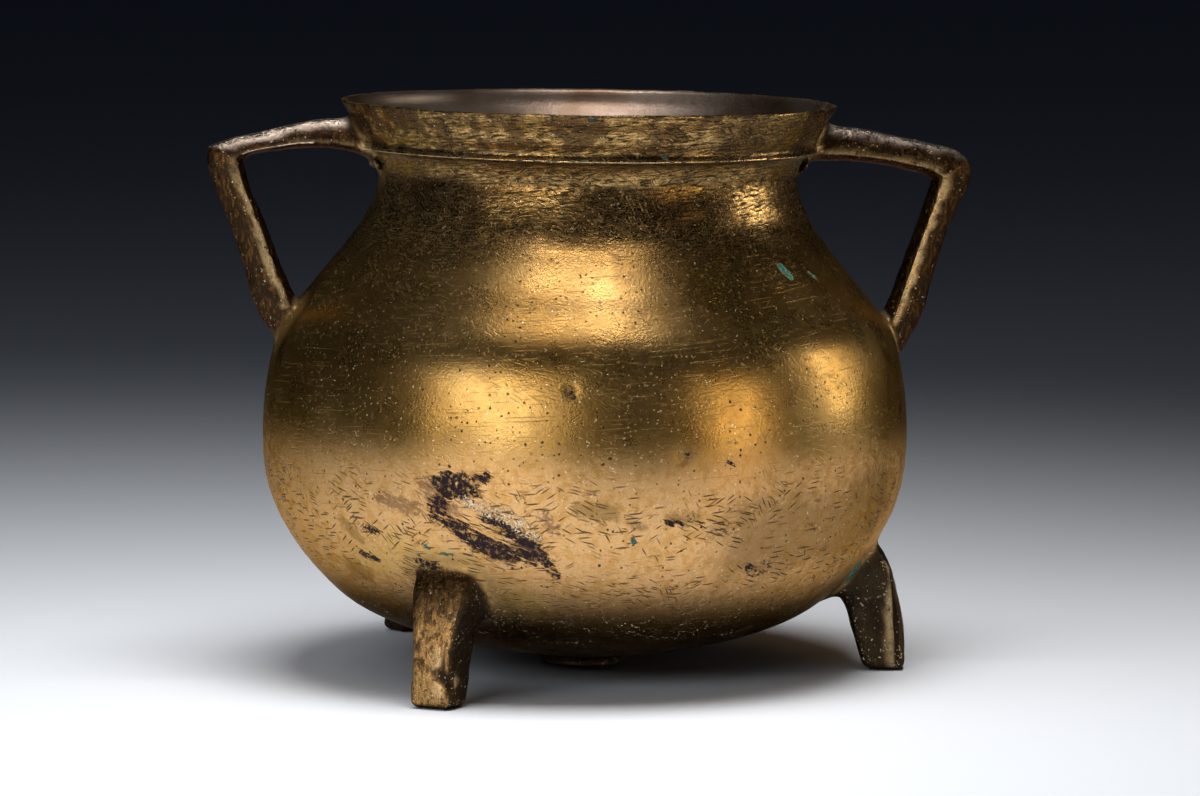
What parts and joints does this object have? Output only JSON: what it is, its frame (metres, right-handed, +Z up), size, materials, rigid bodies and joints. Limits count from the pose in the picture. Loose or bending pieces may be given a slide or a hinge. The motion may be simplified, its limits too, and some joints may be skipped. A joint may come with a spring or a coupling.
{
  "type": "tripod cooking pot",
  "caption": "Round-bellied cast bronze cooking pot with a flared banded rim, elbow handles and short splayed feet.",
  "frame": {"origin": "on the floor, under the middle of the pot's outline", "axes": "+Z up, +X along the line of the two handles, +Y away from the side that the picture shows"},
  "size_m": [0.227, 0.1876, 0.1663],
  "materials": {
    "bronze": "worn yellow-brown bronze, darker and browner on the neck, handles and inside, rubbed paler on the lower belly, with fine pits, file marks and small green and dark crusts"
  },
  "bodies": {
    "root": {"cooking_pot": "bronze"}
  },
  "joints": []
}
